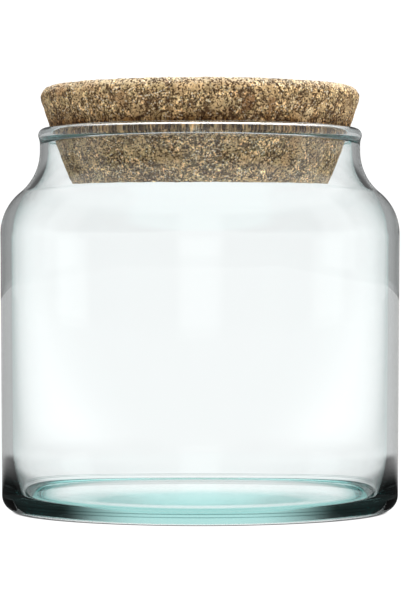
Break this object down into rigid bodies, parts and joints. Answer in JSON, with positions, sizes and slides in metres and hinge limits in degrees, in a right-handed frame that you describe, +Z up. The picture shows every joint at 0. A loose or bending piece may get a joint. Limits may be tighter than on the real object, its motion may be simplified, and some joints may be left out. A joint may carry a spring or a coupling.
{
  "type": "glass jar with cork stopper",
  "caption": "Round clear-glass storage jar with a rounded shoulder, short neck and thick heel, closed by a tapered cork stopper that lifts out.",
  "frame": {"origin": "on the jar's axis, in the plane of the ring that stands on the table", "axes": "+Z up along the jar's axis, out of its mouth; the jar is round, so X and Y are alike, and the picture looks along +Y"},
  "size_m": [0.121, 0.121, 0.1286],
  "materials": {
    "clear_glass": "clear blown glass with a faint blue-green tint that shows at the thick heel",
    "cork": "matt pressed cork granules, light brown with dark specks"
  },
  "bodies": {
    "jar": {"glass_jar": "clear_glass"},
    "stopper": {"cork_stopper": "cork"}
  },
  "joints": [
    {"name": "stopper_lift", "type": "slide", "parent": "jar", "child": "stopper", "axis": [0, 0, 1], "range_m": [0, 0.06]}
  ]
}
